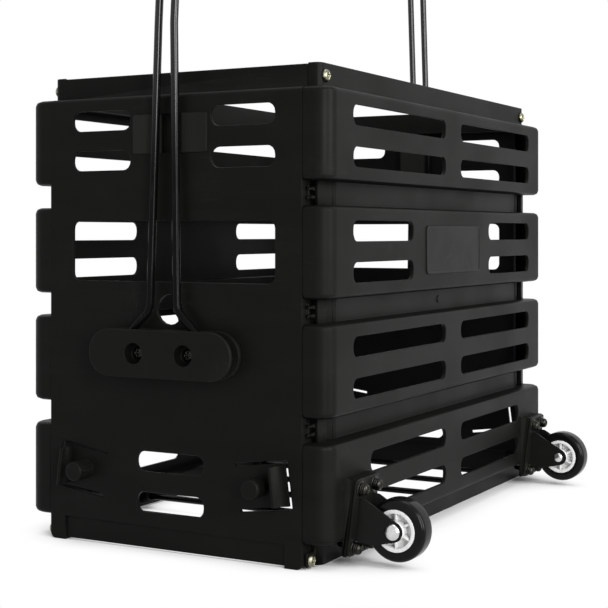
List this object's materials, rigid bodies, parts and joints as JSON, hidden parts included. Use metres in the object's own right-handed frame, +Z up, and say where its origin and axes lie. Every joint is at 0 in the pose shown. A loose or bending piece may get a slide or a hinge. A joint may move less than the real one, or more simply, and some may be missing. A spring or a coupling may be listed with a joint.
{
  "type": "tennis ball hopper",
  "caption": "Slotted plastic ball hopper with a rod floor that picks balls up, twin rod handles that fold down as legs, and casters on one side.",
  "frame": {"origin": "middle of the footprint on the floor, under the four feet's level, casters included in the footprint", "axes": "+Z up along the raised handles, +X towards the side with the casters, front end panel facing -Y"},
  "size_m": [0.3084, 0.4606, 0.7852],
  "materials": {
    "moulded_plastic": "fine satin moulding",
    "bracket_plastic": "satin moulding",
    "black_steel": "smooth glossy black coating",
    "grip_sleeve": "matte soft sleeve",
    "screw_steel": "yellow-grey zinc plating",
    "dark_screw_steel": "dark grey plating",
    "rivet_steel": "bright domed rivet",
    "fork_steel": "satin black paint",
    "hub_plastic": "smooth pale grey moulding",
    "tyre_rubber": "glossy hard tread",
    "badge_plastic": "plain dark plate, unprinted"
  },
  "bodies": {
    "bin": {"end_panel_front": "moulded_plastic", "end_panel_rear": "moulded_plastic", "side_panel_left": "moulded_plastic", "side_panel_right": "moulded_plastic", "pivot_back_plate_front": "bracket_plastic", "pivot_back_plate_rear": "bracket_plastic", "pivot_cover_front": "bracket_plastic", "pivot_cover_rear": "bracket_plastic", "bottom_rod_1": "black_steel", "bottom_rod_2": "black_steel", "bottom_rod_3": "black_steel", "bottom_rod_4": "black_steel", "bottom_rod_5": "black_steel", "bottom_rod_6": "black_steel", "rim_screw_1": "screw_steel", "rim_screw_2": "screw_steel", "rim_screw_3": "screw_steel", "rim_screw_4": "screw_steel", "foot_screw_1": "screw_steel", "foot_screw_2": "screw_steel", "foot_screw_3": "screw_steel", "foot_screw_4": "screw_steel", "bracket_screw_1": "dark_screw_steel", "bracket_screw_2": "dark_screw_steel", "bracket_screw_3": "dark_screw_steel", "bracket_screw_4": "dark_screw_steel", "caster_screw_1": "dark_screw_steel", "caster_screw_2": "dark_screw_steel", "caster_screw_3": "dark_screw_steel", "caster_screw_4": "dark_screw_steel", "caster_screw_5": "dark_screw_steel", "caster_screw_6": "dark_screw_steel", "caster_screw_7": "dark_screw_steel", "caster_screw_8": "dark_screw_steel", "wheel_axle_front": "rivet_steel", "wheel_axle_rear": "rivet_steel", "caster_fork_front": "fork_steel", "caster_fork_rear": "fork_steel", "blank_badge": "badge_plastic"},
    "handle_left": {"handle_rod_left": "black_steel", "handle_grip_left": "grip_sleeve"},
    "handle_right": {"handle_rod_right": "black_steel", "handle_grip_right": "grip_sleeve"},
    "wheel_front": {"wheel_hub_front": "hub_plastic", "wheel_tyre_front": "tyre_rubber"},
    "wheel_rear": {"wheel_hub_rear": "hub_plastic", "wheel_tyre_rear": "tyre_rubber"}
  },
  "joints": [
    {"name": "handle_right_fold", "type": "hinge", "parent": "bin", "child": "handle_right", "pos_m": [0.01527, 0, 0.1412], "axis": [0, 1, 0], "range_deg": [0, 173.9]},
    {"name": "handle_left_fold", "type": "hinge", "parent": "bin", "child": "handle_left", "pos_m": [-0.06977, 0, 0.1412], "axis": [0, -1, 0], "range_deg": [0, 173.9]},
    {"name": "wheel_front_spin", "type": "hinge", "parent": "bin", "child": "wheel_front", "pos_m": [0.13275, -0.175, 0.026], "axis": [0, 1, 0], "continuous": true},
    {"name": "wheel_rear_spin", "type": "hinge", "parent": "bin", "child": "wheel_rear", "pos_m": [0.13275, 0.175, 0.026], "axis": [0, 1, 0], "continuous": true}
  ]
}
